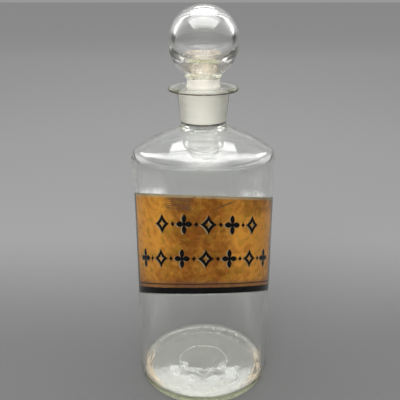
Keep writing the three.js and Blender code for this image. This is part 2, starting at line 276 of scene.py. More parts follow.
def make_camera():
    """The photograph's viewpoint, level from side to side."""
    data = bpy.data.cameras.new("camera")
    data.lens = CAMERA_LENS
    data.sensor_width = 36
    data.shift_x = CAMERA_SHIFT
    camera = bpy.data.objects.new("camera", data)
    camera.location = (0, -CAMERA_DISTANCE, CAMERA_HEIGHT)
    camera.rotation_euler = (math.radians(90 - CAMERA_PITCH), 0, 0)
    bpy.context.scene.collection.objects.link(camera)
    bpy.context.scene.camera = camera


make_camera()


# Profiles: each is an array of (radius, height) points
def arc(centre, radius, start, end, steps):
    """Circle's arc: centre + radius (cos t, sin t), with t from start to end in degrees."""
    turn = np.radians(np.linspace(start, end, steps + 1))
    return np.stack([centre[0] + radius * np.cos(turn), centre[1] + radius * np.sin(turn)], 1)


def line(start, end, steps):
    """Straight run: start + t (end - start), with t from 0 to 1."""
    return np.linspace(start, end, steps + 1)


def bend(start, corner, end, steps):
    """Curve tangent to both arms of a corner: (1-t)^2 start + 2t(1-t) corner + t^2 end."""
    t = np.linspace(0, 1, steps + 1)[:, None]
    start, corner, end = (np.array(p, float) for p in (start, corner, end))
    return (1 - t) ** 2 * start + 2 * t * (1 - t) * corner + t * t * end


def joined(*runs):
    """The runs one after the other, less each point that repeats the one before it."""
    path = np.concatenate(runs)
    step = np.abs(np.diff(path, axis=0)).max(1)
    return path[np.concatenate([[True], step > 1e-7])]


def meeting(first, first_slope, second, second_slope):
    """Where two lines that fall outwards at the given slopes meet."""
    a, b = math.tan(math.radians(first_slope)), math.tan(math.radians(second_slope))
    radius = (second[1] - first[1] + b * second[0] - a * first[0]) / (b - a)
    return radius, first[1] + a * (first[0] - radius)


def sloped(start, slope, distance):
    """A point moved square to a slope, into the glass, by a distance."""
    turn = math.radians(slope)
    return start[0] - distance * math.sin(turn), start[1] - distance * math.cos(turn)


def turned(path, columns):
    """The radii and the heights of a profile's points, each repeated for every column."""
    return [np.repeat(path[:, k : k + 1], columns, 1) for k in (0, 1)]


# Meshes
def add_object(name, points, faces, finishes, slots=None, uv=None):
    """Mesh object from whole arrays of points and faces, smooth but for edges over SHARP_EDGE."""
    mesh = bpy.data.meshes.new(name)
    mesh.from_pydata(points, [], faces)
    for finish in finishes:
        mesh.materials.append(finish)
    if slots is not None:
        mesh.polygons.foreach_set("material_index", np.asarray(slots, np.int32))
    if uv is not None:
        corners = np.empty(len(mesh.loops), np.int32)
        mesh.loops.foreach_get("vertex_index", corners)
        mesh.uv_layers.new(name="label").data.foreach_set("uv", uv[corners].astype(np.float32).ravel())
    mesh.polygons.foreach_set("use_smooth", np.ones(len(mesh.polygons), bool))
    mesh.set_sharp_from_angle(angle=math.radians(SHARP_EDGE))
    mesh.validate()
    mesh.update()
    made = bpy.data.objects.new(name, mesh)
    bpy.context.scene.collection.objects.link(made)
    return made


def lathe(name, radius, height, angles, finishes, slots, lean=0):
    """Closed turned body. Ring i, column j lies at (r sin a + lean, -r cos a, z) for r = radius[i, j],
    z = height[i, j] and a = angles[j]. The first and the last ring are single points on the axis.
    slots gives the finish of the band that follows each ring."""
    rings, columns = radius.shape
    x, y = lean + radius * np.sin(angles), -radius * np.cos(angles)
    body = np.stack([x, y, height], 2)[1:-1].reshape(-1, 3)
    ends = [[np.mean(x[k]), 0, np.mean(height[k])] for k in (0, -1)]
    points = np.concatenate([body, ends])
    first, last = len(body), len(body) + 1
    index = np.arange(len(body)).reshape(rings - 2, columns)
    near, far = index[:-1], index[1:]
    quads = np.stack([near, np.roll(near, -1, 1), np.roll(far, -1, 1), far], 2).reshape(-1, 4)
    start, end = index[0], index[-1]
    fan = np.stack([np.full(columns, first), np.roll(start, -1), start], 1)
    cap = np.stack([np.full(columns, last), end, np.roll(end, -1)], 1)
    faces = quads.tolist() + fan.tolist() + cap.tolist()
    bands = np.repeat(slots[1:-1], columns)
    fans = np.repeat([slots[0], slots[-1]], columns)
    return add_object(name, points, faces, finishes, np.concatenate([bands, fans]))


def plate(name, outer, inner, finishes, cells=None, wrap=False, uv=None):
    """Closed thin plate between two grids of points, with a wall wherever a face has no neighbour.
    cells says which of the grid's cells are there; wrap joins the last column to the first. Where
    there are two finishes, the second is the inner side's."""
    rows, columns = outer.shape[:2]
    spans = columns if wrap else columns - 1
    cells = np.ones((rows - 1, spans), bool) if cells is None else cells
    index = np.arange(rows * columns).reshape(rows, columns)
    left, right = index[:, :spans], np.roll(index, -1, 1)[:, :spans]
    corners = np.stack([left[:-1], right[:-1], right[1:], left[1:]], 2)
    shown = corners[cells]
    edges = np.concatenate([shown[:, [k, (k + 1) % 4]] for k in range(4)])
    key = edges[:, 0].astype(np.int64) * index.size + edges[:, 1]
    back = edges[:, 1].astype(np.int64) * index.size + edges[:, 0]
    rim = edges[~np.isin(key, back)]
    other = index.size
    walls = np.stack([rim[:, 1], rim[:, 0], rim[:, 0] + other, rim[:, 1] + other], 1)
    faces = np.concatenate([shown, shown[:, ::-1] + other, walls])
    points = np.concatenate([outer.reshape(-1, 3), inner.reshape(-1, 3)])
    used, numbered = np.unique(faces, return_inverse=True)
    both = None if uv is None else np.concatenate([uv.reshape(-1, 2)] * 2)[used]
    slots = np.zeros(len(faces), int)
    slots[len(shown) : 2 * len(shown)] = len(finishes) - 1
    return add_object(name, points[used], numbered.reshape(-1, 4).tolist(), finishes, slots, both)


# The label's own frame: an angle round the bottle and a rise from its bottom edge
def level_height(rise, x, y):
    """The height at (x, y) of the label's level line at a rise: its slopes go evenly from those of
    the bottom edge to those of the top edge."""
    share = rise / LABEL_HEIGHT
    droop = BOTTOM_EDGE_DROOP + share * (TOP_EDGE_DROOP - BOTTOM_EDGE_DROOP)
    tilt = BOTTOM_EDGE_TILT + share * (TOP_EDGE_TILT - BOTTOM_EDGE_TILT)
    return LABEL_BOTTOM + rise - droop * (y + BODY_RADIUS) + tilt * x


def on_label(angle, rise, radius, level_radius=None):
    """Points (r sin a, -r cos a, level height), for whole arrays of angles in degrees and rises."""
    turn = np.radians(angle)
    level_radius = radius if level_radius is None else level_radius
    height = level_height(rise, level_radius * np.sin(turn), -level_radius * np.cos(turn))
    return np.stack([radius * np.sin(turn), -radius * np.cos(turn), height], -1)


def angle_of(width):
    """The angle in degrees that a width takes up on the wall."""
    return math.degrees(width / BODY_RADIUS)


def label_grid(left, right, low, high, columns, rows):
    """Evenly spaced angles and rises, as two arrays of rows by columns."""
    return np.meshgrid(line(left, right, columns), line(low, high, rows))


# Shader maths
class Signal:
    """A node's output. Arithmetic on it adds Math nodes."""

    def __init__(self, finish, socket):
        self.finish = finish
        self.socket = socket

    def math(self, operation, *values):
        return self.finish.node("Math", {"operation": operation}, dict(enumerate((self, *values))))

    def __add__(self, other):
        return self.math("ADD", other)

    def __sub__(self, other):
        return self.math("SUBTRACT", other)

    def __rsub__(self, other):
        return self.finish.node("Math", {"operation": "SUBTRACT"}, {0: other, 1: self})

    def __mul__(self, other):
        return self.math("MULTIPLY", other)

    def __truediv__(self, other):
        return self.math("DIVIDE", other)

    def __pow__(self, other):
        return self.math("POWER", other)

    def __abs__(self):
        return self.math("ABSOLUTE")

    def at_least(self, other):
        return self.math("MAXIMUM", other)

    def clamp(self):
        return self.finish.node("Clamp", {}, {"Value": self})

    def step(self, low, high, to_low=0.0, to_high=1.0):
        """Smooth step from to_low at low to to_high at high."""
        values = {"Value": self, "From Min": low, "From Max": high, "To Min": to_low, "To Max": to_high}
        return self.finish.node("MapRange", {"interpolation_type": "SMOOTHSTEP"}, values)


class Finish:
    """A material, or another thing with shader nodes, whose nodes are made by one method."""

    def __init__(self, name, owner=None):
        self.owner = owner or bpy.data.materials.new(name)
        self.owner.use_nodes = True
        self.tree = self.owner.node_tree
        self.tree.nodes.clear()

    def node(self, kind, settings, values, output=0):
        """Any node: its type, its settings, which come first, and its sockets' values or links."""
        made = self.tree.nodes.new("ShaderNode" + kind)
        for name, value in settings.items():
            setattr(made, name, value)
        for name, value in values.items():
            socket = made.inputs[name]
            if isinstance(value, Signal):
                self.tree.links.new(value.socket, socket)
            else:
                socket.default_value = value
        return Signal(self, made.outputs[output])

    def place(self):
        return self.node("TexCoord", {}, {}, "Object")

    def parts(self, vector):
        """The three parts of a vector, each as a signal."""
        split = self.node("SeparateXYZ", {}, {"Vector": vector})
        return [Signal(self, split.socket.node.outputs[k]) for k in range(3)]

    def vector(self, *parts):
        return self.node("CombineXYZ", {}, dict(enumerate(parts)))

    def noise(self, vector, scale, detail=2.0, roughness=0.5):
        values = {"Vector": vector, "Scale": scale, "Detail": detail, "Roughness": roughness}
        return self.node("TexNoise", {}, values, "Fac")

    def stretched(self, vector, scale):
        return self.node("Mapping", {}, {"Vector": vector, "Scale": scale})

    def mix(self, share, first, second):
        """Colour between two colours."""
        return self.node("Mix", {"data_type": "RGBA"}, {0: share, 6: first, 7: second}, 2)

    def bump(self, height, distance, strength):
        values = {"Height": height, "Distance": distance, "Strength": strength}
        return self.node("Bump", {}, values, "Normal")

    def shader(self, **values):
        """The main shader, with its sockets' names written with underscores."""
        named = {name.replace("_", " "): value for name, value in values.items()}
        return self.node("BsdfPrincipled", {}, named)

    def glass(self, bending=GLASS_BENDING, **values):
        return self.shader(IOR=bending, Transmission_Weight=1.0, **values)

    def let_through(self, colour):
        return self.node("BsdfTransparent", {}, {"Color": colour})

    def blend(self, share, first, second):
        """Shader between two shaders."""
        return self.node("MixShader", {}, {0: share, 1: first, 2: second})

    def clear_to_lamps(self, glass, shade):
        """Glass for everything that is seen, and a faint grey for the lamps' own rays."""
        lamp_ray = self.node("LightPath", {}, {}, "Is Shadow Ray")
        return self.blend(lamp_ray, glass, self.let_through(grey(shade)))

    def done(self, surface, volume=None, kind="Material"):
        end = self.tree.nodes.new("ShaderNodeOutput" + kind)
        self.tree.links.new(surface.socket, end.inputs["Surface"])
        if volume:
            self.tree.links.new(volume.socket, end.inputs["Volume"])
        return self.owner


def grey(level):
    return (level, level, level, 1)


# Finishes
def wall_haze_and_sheen(finish, place, streaks):
    """What lies on the outer glass, and painted light on it: haze in upright streaks on the front of
    the wall's sides, where it is partly a painted sheen; painted glints in streaks above the label's
    corners; and a painted highlight in level lines on the front of the shoulder. Low down there is less."""
    across, away, height = finish.parts(place)
    aside = abs(across)
    # Haze on the wall's sides at the front, partly a painted sheen
    sheen_sides = aside.step(0.016, 0.030) * aside.step(0.034, 0.043, 1, 0) * away.step(-0.01, 0.01, 1, 0)
    cords = finish.noise(finish.stretched(place, (1, 1, 0.05)), 260, 2)
    level = height.step(0.03, 0.11, 0.3, 1)
    level = level * height.step(STRAIGHT_WALL_TOP - 0.004, STRAIGHT_WALL_TOP, 1, 0)
    haze = sheen_sides * level * cords.step(0.35, 0.75, 0.02, 0.14)
    rise = height + (away + BODY_RADIUS) * TOP_EDGE_DROOP - across * TOP_EDGE_TILT
    above = rise - LABEL_BOTTOM - LABEL_HEIGHT
    # Painted glints above the label's corners, in streaks
    corners = above.step(0.0003, 0.0008) * above.step(0.001, 0.006, 1, 0) * aside.step(0.018, 0.026)
    spots = corners * streaks.step(0.35, 0.6, 0.05, 0.55) * sheen_sides
    # Painted highlight on the front of the shoulder, in level lines
    roof = height.step(SHOULDER_HIGHLIGHT_LOW, SHOULDER_HIGHLIGHT_LOW + 0.003)
    roof = roof * height.step(SHOULDER_HIGHLIGHT_HIGH - 0.004, SHOULDER_HIGHLIGHT_HIGH, 1, 0)
    front = roof * aside.step(0.002, 0.018, 1, 0) * away.step(-0.014, -0.006, 1, 0)
    lines = finish.noise(finish.stretched(place, (0.25, 0.25, 6)), 220, 2)
    film_layer = front * lines.step(0.4, 0.6, 0.08, 0.26)
    return haze + spots + film_layer + height.step(0.03, 0.09, -0.02, 0)


def clear_glass(name, tint, waves, shade, density, haze, more_film=None, bending=GLASS_BENDING):
    """Old glass: clear, a little grey-green, with faint cords and ripples in it and streaks of haze
    on it. At front and back the shoulder's rounded corner lets most light straight through."""
    finish = Finish(name)
    place = finish.place()
    cords = finish.noise(finish.stretched(place, (1, 1, 0.25)), 55, 2)
    ripples = finish.noise(finish.stretched(place, (0.6, 0.6, 3)), 40, 1)
    darker = tuple(part * CORD_DARKNESS for part in tint[:3]) + (1,)
    spots = finish.noise(place, 30, 3)
    glass = finish.glass(
        bending, Base_Color=finish.mix(cords.step(0.35, 0.75), tint, darker),
        Roughness=spots.step(0.5, 0.8, 0.0, 0.02),
        Normal=finish.bump(cords + ripples * 0.5, 0.001, waves),
    )
    across, _, height = finish.parts(place)
    corner = height.step(CORNER_LOW, CORNER_LOW + 0.002)
    corner = corner * height.step(CORNER_HIGH - 0.001, CORNER_HIGH, 1, 0)
    corner = corner * abs(across).step(0.016, 0.031, 1, 0)
    eased = finish.blend(corner * 0.8, glass, finish.let_through(tint))
    streaks = finish.noise(finish.stretched(place, (1, 1, 0.16)), 90, 3, 0.6)
    film = streaks.step(0.42, 0.72, haze * 0.35, haze)
    if more_film:
        film = (film + more_film(finish, place, streaks)).clamp()
    seen = finish.blend(film, eased, finish.shader(Base_Color=HAZE_GREY, Roughness=0.8))
    depth = finish.node("VolumeAbsorption", {}, {"Color": GLASS_DEPTH_COLOUR, "Density": density})
    return finish.done(finish.clear_to_lamps(seen, shade), depth)


def ground_glass():
    """Glass roughened by grinding: it scatters light and looks cream white, less so above the seat."""
    finish = Finish("ground_glass")
    place = finish.place()
    rings = finish.noise(finish.stretched(place, (0.3, 0.3, 6)), 300, 3)
    grain = finish.noise(place, 2500, 2)
    glass = finish.glass(
        Base_Color=GROUND_TINT, Roughness=0.45, Normal=finish.bump(grain + rings, 0.0001, 0.6)
    )
    powder = finish.shader(Base_Color=finish.mix(rings.step(0.3, 0.7), *GROUND_POWDER), Roughness=0.9)
    seated = finish.parts(place)[2].step(LIP_TOP - 0.001, LIP_TOP + 0.0005, 1, 0.5)
    frost = finish.blend(rings.step(0.2, 0.8, 0.86, 0.98) * seated, glass, powder)
    return finish.done(finish.clear_to_lamps(frost, 0.8))


def dusty_glass():
    """The inside of the stopper's throat and bore: clear, with a film of dust, beige in the throat."""
    finish = Finish("dusty_glass")
    place = finish.place()
    film = finish.noise(place, 220, 3)
    glass = finish.glass(
        Base_Color=finish.mix(film, *BORE_TINTS), Roughness=film.step(0.4, 0.8, 0.02, 0.12)
    )
    collar = LIP_TOP + COLLAR_RISE
    throat = finish.parts(place)[2].step(collar + 0.002, collar + 0.006)
    colour = finish.mix(throat, finish.mix(film, *PALE_DUST), finish.mix(film, *BEIGE_DUST))
    film_layer = finish.shader(Base_Color=colour, Roughness=0.9)
    dusty = finish.blend(film.step(0.3, 0.7, 0.18, 0.48), glass, film_layer)
    return finish.done(finish.clear_to_lamps(dusty, 0.93))


def floor_residue():
    """The inner floor: clear glass with a pale film of dust, faint fans of it in front, and fine
    round beige lines in the corner at both sides."""
    finish = Finish("floor_residue")
    place = finish.place()
    across, away, height = finish.parts(place)
    squared = across * across + away * away
    reach = squared ** 0.5
    streaks = finish.noise(finish.stretched(place, (1, 1, 0.35)), 170, 4, 0.65)
    glass = finish.glass(
        Base_Color=finish.mix(streaks, *BASE_TINTS), Roughness=streaks.step(0.5, 0.8, 0.0, 0.05)
    )
    aside = abs(across).step(0.022, 0.036) * away.step(0.025, -0.005)
    corner = squared.step(0.0385**2, 0.0395**2)
    film_shader = finish.shader(Base_Color=finish.mix(corner * aside, *BASE_DUST), Roughness=0.9)
    spokes = finish.vector(across / reach, away / reach, reach * FAN_PITCH)
    fans = finish.noise(spokes, 4, 1).step(0.35, 0.7, 0, 0.12) * away.step(-0.02, -0.005, 1, 0)
    rounds = finish.vector(across / reach, away / reach, (reach + height) * ROUND_LINE_PITCH)
    lines = finish.noise(rounds, 4, 1).step(0.44, 0.56, 0.05, 0.9)
    film = (fans + lines * aside * corner + streaks.step(0.3, 0.7, 0.20, 0.28)).clamp()
    return finish.done(finish.clear_to_lamps(finish.blend(film, glass, film_shader), 0.9))


def scuffed_heel_glow():
    """The heel and the ring that the bottle stands on: scuffed glass with a painted glow, a pale
    yellow-green film and translucent light that are strongest on its front half."""
    finish = Finish("scuffed_heel_glow")
    place = finish.place()
    scuffs = finish.noise(finish.stretched(place, (1, 1, 3)), 400, 3, 0.6)
    across, away, _ = finish.parts(place)
    ring = (across * across + away * away).step(0.035**2, 0.039**2)
    glass = finish.glass(
        Base_Color=finish.mix(scuffs, *HEEL_TINTS), Roughness=ring * scuffs.step(0.4, 0.7, 0.05, 0.35)
    )
    pale = finish.mix(scuffs, *HEEL_SCUFF_GLOW_COLOURS)
    painted_glow = finish.node("BsdfTranslucent", {}, {"Color": pale})
    scuffs_and_glow = finish.blend(0.5, finish.shader(Base_Color=pale, Roughness=0.8), painted_glow)
    # Painted glow: the pale share is strongest at the front, with an extra band on the heel's front
    share = ring * scuffs.step(0.35, 0.65, 0.25, 0.6) * away.step(-0.02, 0.01, 1, 0.2)
    share = share + away.step(-0.03, -0.01, 0.46, 0)
    return finish.done(finish.clear_to_lamps(finish.blend(share, glass, scuffs_and_glow), 0.8))


def shade_line():
    """Painted shade under the lip and round the plug's end: dark specks over the glass, like dirt."""
    finish = Finish("shade_line")
    specks = finish.noise(finish.place(), 420, 3, 0.6)
    glass = finish.glass(
        Base_Color=finish.mix(specks, *SHADE_LINE_TINTS), Roughness=specks.step(0.3, 0.7, 0.1, 0.4)
    )
    film_shader = finish.shader(Base_Color=finish.mix(specks, *SHADE_LINE_DARKS), Roughness=0.9)
    painted_shade = finish.blend(specks.step(0.32, 0.52, 0.35, 1.0), glass, film_shader)
    return finish.done(finish.clear_to_lamps(painted_shade, 0.7))


def bonded_face():
    """The side of the cover glass that the paint and the leaf stick to: it mirrors nothing."""
    finish = Finish("bonded_face")
    stains = finish.noise(finish.place(), 120, 3)
    return finish.done(finish.let_through(finish.mix(stains.step(0.5, 0.8), *BONDED_TINTS)))


def gold_leaf():
    """Old leaf behind glass, with a painted sheen: lighter towards the label's sides, less so low down
    and at the upper right, so darker in the middle and along the bottom. It has blotches, flecks, a
    rubbed patch and a scratch near the top, and painted shade along its side edges."""
    finish = Finish("worn_gold_leaf")
    place = finish.place()
    across, rise, _ = finish.parts(finish.node("UVMap", {"uv_map": "label"}, {}, "UV"))
    clouds = finish.noise(place, 80, 4, 0.6)
    blotches = finish.noise(place, 260, 4, 0.65)
    specks = finish.noise(place, 900, 2, 0.5)
    tints = finish.noise(place, 150, 2)
    # Painted sheen: the leaf is lighter towards the label's sides, less so low down and at the upper right
    aside = across.step(-0.034, -0.010, 1, 0) + across.step(0.006, 0.034, 0, 1.5)
    upper_right = across.step(0.005, 0.03) * rise.step(0.048, 0.060)
    painted_glow = aside * rise.step(0.010, 0.040, 0.45, 1.0) * (1 - upper_right * 0.75)
    lightness = (painted_glow + (clouds - 0.5) * 1.3 + (blotches - 0.5) * 1.6 + 0.08).clamp()
    colour = finish.mix(lightness, LEAF_BROWN, LEAF_GOLD)
    rubbed_across = across.step(-0.028, -0.022) * across.step(-0.010, -0.005, 1, 0)
    scores = finish.noise(finish.stretched(place, (0.4, 0.4, 6)), 260, 2)
    rubbed = rubbed_across * rise.step(0.054, 0.059) * scores.step(0.42, 0.55)
    stroke = abs(rise - SCRATCH_RISE - across * SCRATCH_SLOPE).step(0.0003, 0.0007, 1, 0)
    scratch = stroke * across.step(0.006, 0.008) * across.step(0.019, 0.021, 1, 0) * specks.step(0.3, 0.5)
    below_rule = rise.step(BAND_HEIGHT + RULE_RISE, BAND_HEIGHT + 3 * RULE_RISE, 1, 0)
    edge = rise.step(LABEL_HEIGHT - 0.0019, LABEL_HEIGHT - 0.0012) * blotches.step(0.2, 0.5)
    # Painted shade along the leaf's side edges, stronger low down
    edge_shade = across.step(-0.0585, -0.0545, 1, 0) + across.step(0.0560, 0.0615)
    for share, stain in (
        (tints.step(0.52, 0.72) * 0.55, LEAF_OLIVE),
        (tints.step(0.48, 0.30) * 0.5, LEAF_COPPER),
        (specks.step(0.64, 0.76) * 0.75, LEAF_FLECK_AND_SHADE),
        ((rubbed * 0.75 + scratch * 0.9).clamp(), LEAF_WORN),
        (below_rule * 0.6, LEAF_ROSY),
        (edge * 0.85, LEAF_EDGE),
        (edge_shade * rise.step(0.02, 0.06, 0.85, 0.5), LEAF_FLECK_AND_SHADE),
    ):
        colour = finish.mix(share, colour, stain)
    return finish.done(finish.shader(
        Base_Color=colour, Metallic=blotches.step(0.4, 0.8, 0.3, 0.15),
        Roughness=clouds.step(0.3, 0.8, 0.38, 0.6), Specular_IOR_Level=0.2,
        Normal=finish.bump(blotches + specks * 0.3, 0.0002, 0.5),
    ))


def enamel(name, blacks):
    """Fired black paint, browner where it is thin."""
    finish = Finish(name)
    thin = finish.noise(finish.place(), 500, 3)
    return finish.done(finish.shader(
        Base_Color=finish.mix(thin.step(0.50, 0.75), *blacks),
        Roughness=thin.step(0.3, 0.8, 0.3, 0.55), Specular_IOR_Level=0.0,
        Normal=finish.bump(thin, 0.0001, 0.4),
    ))


def shade_paint():
    """Thin pale shading beside the black, grey-green where it is whole and browner where it is worn."""
    finish = Finish("pale_shading")
    worn = finish.noise(finish.place(), 600, 3)
    colour = finish.mix(worn.step(0.4, 0.7), *SHADING)
    return finish.done(finish.shader(Base_Color=colour, Roughness=0.6))


def cement():
    """Dull lime cement, stained brown."""
    finish = Finish("label_cement")
    place = finish.place()
    clouds = finish.noise(place, 90, 5, 0.65)
    grain = finish.noise(place, 1500, 2)
    return finish.done(finish.shader(
        Base_Color=finish.mix(clouds.step(0.35, 0.7), *CEMENT_BROWNS), Roughness=0.9,
        Normal=finish.bump(grain + clouds, 0.0003, 0.6),
    ))


CLEAR = clear_glass(
    "bottle_glass", BODY_TINT, waves=0.10, shade=0.80, density=9, haze=0.035, more_film=wall_haze_and_sheen
)
BALL_GLASS = clear_glass("stopper_glass", BALL_TINT, waves=0.08, shade=0.93, density=3, haze=0.05)
COVER = clear_glass(
    "cover_glass", COVER_TINT, waves=0.05, shade=0.99, density=3, haze=0.002, bending=COVER_BENDING
)
BONDED = bonded_face()
GROUND = ground_glass()
DUSTY = dusty_glass()
RESIDUE = floor_residue()
HEEL_SCUFFS_AND_GLOW = scuffed_heel_glow()
SHADE_LINE = shade_line()
LEAF = gold_leaf()
ENAMEL = enamel("black_enamel", ENAMEL_BLACKS)
THIN_ENAMEL = enamel("thin_enamel", THIN_BLACKS)
SHADE = shade_paint()
CEMENT = cement()


# Bottle
def seat_radius(depth):
    """Radius of the ground seat at a depth below the lip's top."""
    return PLUG_RADIUS - PLUG_TAPER * depth + SEAT_CLEARANCE


def hand_waves(seed, angles, heights):
    """Unevenness of blown glass, from -1 to 1: a mean of sines sin(k a + q z + phase)."""
    rng = np.random.default_rng(seed)
    total = np.zeros(np.broadcast(angles, heights).shape)
    for k in range(1, WAVE_TURNS + 1):
        climb, phase = rng.uniform(-WAVE_CLIMB, WAVE_CLIMB), rng.uniform(0, 2 * math.pi)
        total = total + np.sin(k * angles + climb * heights + phase)
    return total / WAVE_TURNS


def underside_path():
    """From the axis over the pontil mark and the push-up to the bearing ring, and up the heel."""
    bearing_outer = BODY_RADIUS - HEEL_RADIUS
    bearing_inner = bearing_outer - BEARING_WIDTH
    dome = PUSH_UP + PONTIL_DEPTH
    return joined(
        line((0, dome), (PONTIL_RADIUS - PONTIL_DEPTH, dome), 5),
        bend((PONTIL_RADIUS - PONTIL_DEPTH, dome), (PONTIL_RADIUS, dome), (PONTIL_RADIUS, PUSH_UP), 4),
        bend(
            (PONTIL_RADIUS + PONTIL_DEPTH, PUSH_UP),
            ((PONTIL_RADIUS + bearing_inner) / 2, PUSH_UP), (bearing_inner, 0), 12,
        ),
        line((bearing_inner, 0), (bearing_outer, 0), 3),
        arc((bearing_outer, HEEL_RADIUS), HEEL_RADIUS, -90, 0, 10),
    )


wall_corner = (BODY_RADIUS - INSIDE_CORNER_RADIUS - WALL, STRAIGHT_WALL_TOP)
shoulder_start = arc(wall_corner, INSIDE_CORNER_RADIUS + WALL, 0, 90 - SHOULDER_OUTER_SLOPE, 1)[-1]
neck_foot = LIP_TOP - NECK_LENGTH
neck_foot_radius = seat_radius(NECK_LENGTH) + NECK_FOOT_WALL
inner_slope = math.radians(SHOULDER_INNER_SLOPE)
shoulder_end = (
    neck_foot_radius + NECK_FILLET * (1 - math.sin(inner_slope)),
    neck_foot - NECK_FILLET * math.cos(inner_slope),
)


def upper_path():
    """From the wall's rounded top over the shoulder, up the neck and round the lip to the mouth."""
    neck_top = seat_radius(LIP_THICKNESS) + NECK_TOP_WALL
    edge = LIP_THICKNESS / 2
    under = LIP_TOP - LIP_THICKNESS
    mouth = seat_radius(0)
    slope = SHOULDER_OUTER_SLOPE
    return joined(
        arc(wall_corner, INSIDE_CORNER_RADIUS + WALL, 0, 90 - slope, 8),
        bend(
            shoulder_start, meeting(shoulder_start, slope, shoulder_end, SHOULDER_INNER_SLOPE),
            shoulder_end, 18,
        ),
        arc(
            (neck_foot_radius + NECK_FILLET, neck_foot), NECK_FILLET,
            270 - SHOULDER_INNER_SLOPE, 180, 8,
        ),
        line((neck_foot_radius, neck_foot), (neck_top, under - LIP_FILLET), 10),
        bend((neck_top, under - LIP_FILLET), (neck_top, under), (neck_top + LIP_FILLET, under), 5),
        arc((neck_top + LIP_OVERHANG - edge, LIP_TOP - edge), edge, -90, 90, 12),
        line((neck_top + LIP_OVERHANG - edge, LIP_TOP), (mouth + MOUTH_ROUND, LIP_TOP), 4),
    )


def inner_path():
    """From the mouth down the ground seat, under the shoulder and down the wall to the floor."""
    depth = LIP_TOP - PLUG_END + SEAT_OVERRUN
    seat_end = (seat_radius(depth), LIP_TOP - depth)
    seat_line = (seat_radius(depth - SEAT_LINE), LIP_TOP - depth + SEAT_LINE)
    roof_inner = sloped(shoulder_end, SHOULDER_INNER_SLOPE, WALL)
    roof_outer = sloped(shoulder_start, SHOULDER_OUTER_SLOPE, WALL)

    def roof(radius):
        return radius, roof_inner[1] - (radius - roof_inner[0]) * math.tan(inner_slope)

    roof_start = roof(seat_end[0] + THROAT_FLARE)
    floor_edge = PUSH_UP + BASE_THICKNESS
    wall_inner = BODY_RADIUS - WALL
    mouth = seat_radius(0)
    seat = joined(
        bend((mouth + MOUTH_ROUND, LIP_TOP), (mouth, LIP_TOP), (mouth, LIP_TOP - MOUTH_ROUND), 3),
        line((mouth, LIP_TOP - MOUTH_ROUND), seat_line, 12),
        line(seat_line, seat_end, 1),
    )
    rest = joined(
        bend(seat_end, roof(seat_end[0]), roof_start, 10),
        bend(
            roof_start, meeting(roof_outer, SHOULDER_OUTER_SLOPE, roof_start, SHOULDER_INNER_SLOPE),
            roof_outer, 14,
        ),
        arc(wall_corner, INSIDE_CORNER_RADIUS, 90 - SHOULDER_OUTER_SLOPE, 0, 6),
        line((wall_inner, STRAIGHT_WALL_TOP), (wall_inner, floor_edge + FLOOR_CORNER_RADIUS), 44),
        arc(
            (wall_inner - FLOOR_CORNER_RADIUS, floor_edge + FLOOR_CORNER_RADIUS),
            FLOOR_CORNER_RADIUS, 0, -90, 10,
        ),
        line(
            (wall_inner - FLOOR_CORNER_RADIUS, floor_edge), (PONTIL_RADIUS, floor_edge + PONTIL_DEPTH), 16
        ),
        line((PONTIL_RADIUS, floor_edge + PONTIL_DEPTH), (0, floor_edge + PONTIL_DEPTH), 16),
    )
    return seat, rest


def wall_rings(angles, inside):
    """The outer wall with the label's recess let into it. Its rings follow the label's level lines
    all the way round, and each edge of the recess is two rings or two columns close together."""
    turn = np.radians(angles)
    low, high = -RECESS_CLEARANCE, LABEL_HEIGHT + RECESS_CLEARANCE

    def edge(rise, radius):
        return level_height(rise, radius * np.sin(turn), -radius * np.cos(turn))

    def run(start, end, steps):
        share = np.linspace(0, 1, steps + 1)[:, None]
        return start + share * (end - start)

    heights = [
        run(np.full_like(turn, HEEL_RADIUS), edge(low, BODY_RADIUS), 14)[1:],
        run(
            np.where(inside, edge(low, RECESS_RADIUS), edge(low, BODY_RADIUS) + RECESS_EDGE),
            np.where(inside, edge(high, RECESS_RADIUS), edge(high, BODY_RADIUS) - RECESS_EDGE),
            16,
        ),
        run(edge(high, BODY_RADIUS), np.full_like(turn, STRAIGHT_WALL_TOP), 8)[:-1],
    ]
    recessed = np.full_like(heights[1], BODY_RADIUS)
    recessed[:, inside] = RECESS_RADIUS
    radii = [np.full_like(heights[0], BODY_RADIUS), recessed, np.full_like(heights[2], BODY_RADIUS)]
    return np.concatenate(radii), np.concatenate(heights)


